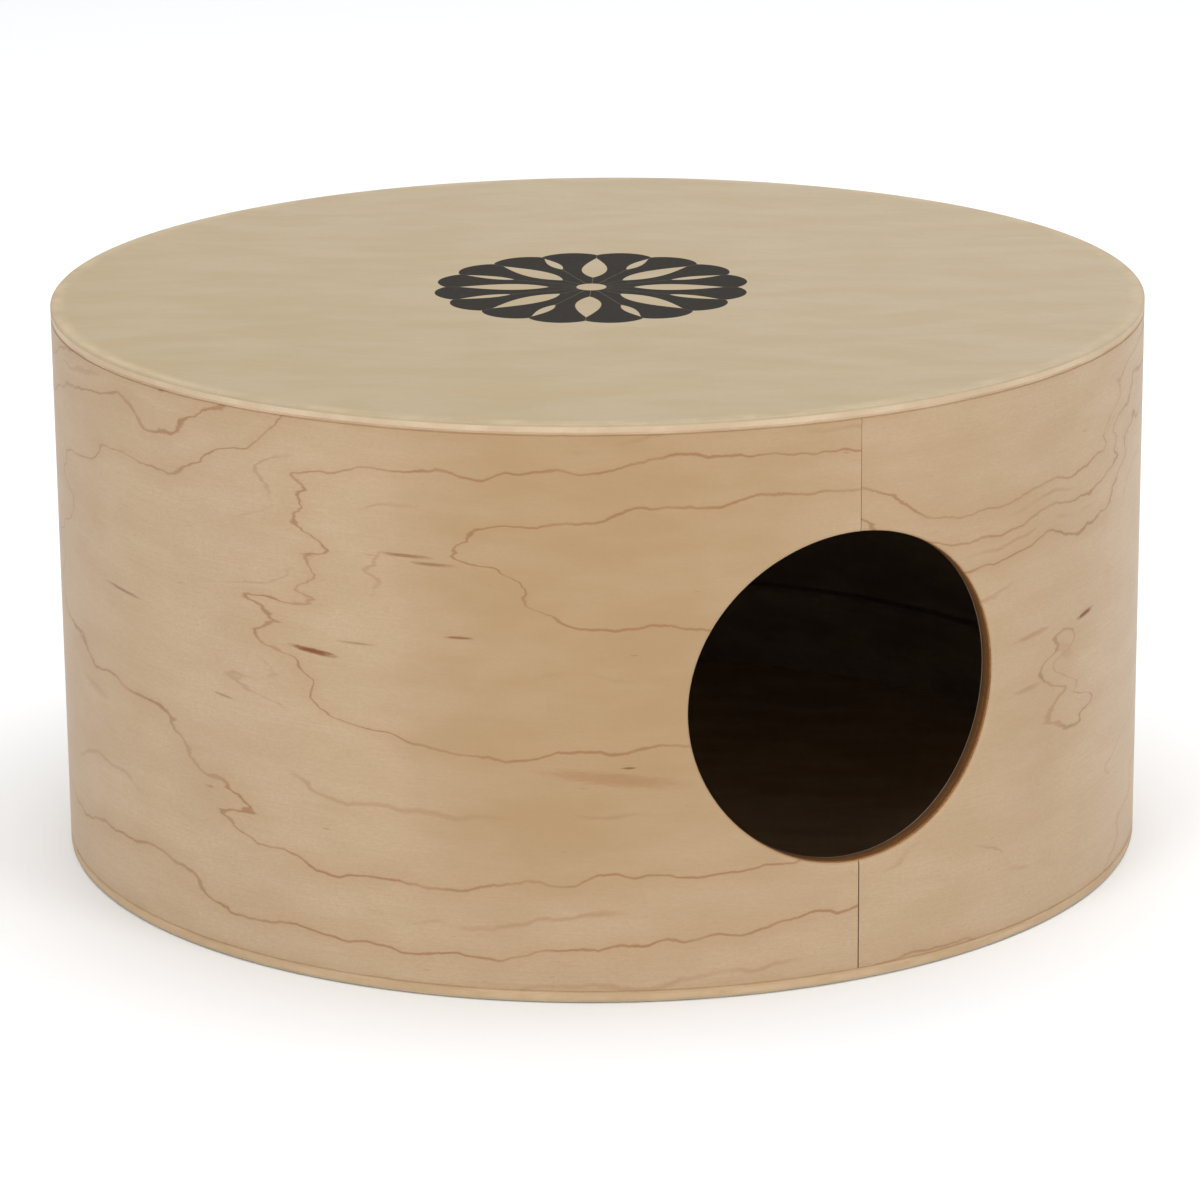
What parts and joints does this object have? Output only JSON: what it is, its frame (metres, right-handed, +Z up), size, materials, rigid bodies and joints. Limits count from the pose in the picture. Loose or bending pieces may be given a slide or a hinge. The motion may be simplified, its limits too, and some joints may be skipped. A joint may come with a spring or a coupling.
{
  "type": "cajon",
  "caption": "Drum-shaped hand cajon: round veneered plywood shell with a side sound hole, thin plates flush on both ends, hoops inside the rims and a fixed snare under the upper plate.",
  "frame": {"origin": "centre of the lower plate's outer face, on the surface the cajon stands on", "axes": "+Z up the shell's axis towards the snare-side plate, -Y out through the sound hole, X along the snare strands"},
  "size_m": [0.3048, 0.3048, 0.155],
  "materials": {
    "shell_veneer": "satin sealed maple veneer",
    "plate_veneer": "satin sealed pale maple ply face",
    "ply_core": "bare cross-grain ply edge",
    "lining_veneer": "bare lining veneer",
    "hoop_wood": "bare bent birch",
    "block_wood": "planed beech",
    "end_plate_steel": "stamped, tin-plated",
    "snare_wire": "drawn spring wire",
    "screw_steel": "zinc-plated"
  },
  "bodies": {
    "root": {"shell_core_plies": "ply_core", "shell_face_veneer": "shell_veneer", "shell_lining_veneer": "lining_veneer", "upper_hoop": "hoop_wood", "lower_hoop": "hoop_wood", "top_plate_face_ply": "plate_veneer", "top_plate_core_ply": "ply_core", "top_plate_inner_ply": "lining_veneer", "bottom_plate_face_ply": "plate_veneer", "bottom_plate_core_ply": "ply_core", "bottom_plate_inner_ply": "lining_veneer", "snare_block_left": "block_wood", "snare_block_right": "block_wood", "snare_end_plate_left": "end_plate_steel", "snare_end_plate_right": "end_plate_steel", "end_plate_screws": "screw_steel", "block_screws": "screw_steel", "snare_strand_01": "snare_wire", "snare_strand_02": "snare_wire", "snare_strand_03": "snare_wire", "snare_strand_04": "snare_wire", "snare_strand_05": "snare_wire", "snare_strand_06": "snare_wire", "snare_strand_07": "snare_wire", "snare_strand_08": "snare_wire", "snare_strand_09": "snare_wire", "snare_strand_10": "snare_wire", "snare_strand_11": "snare_wire", "snare_strand_12": "snare_wire"}
  },
  "joints": []
}
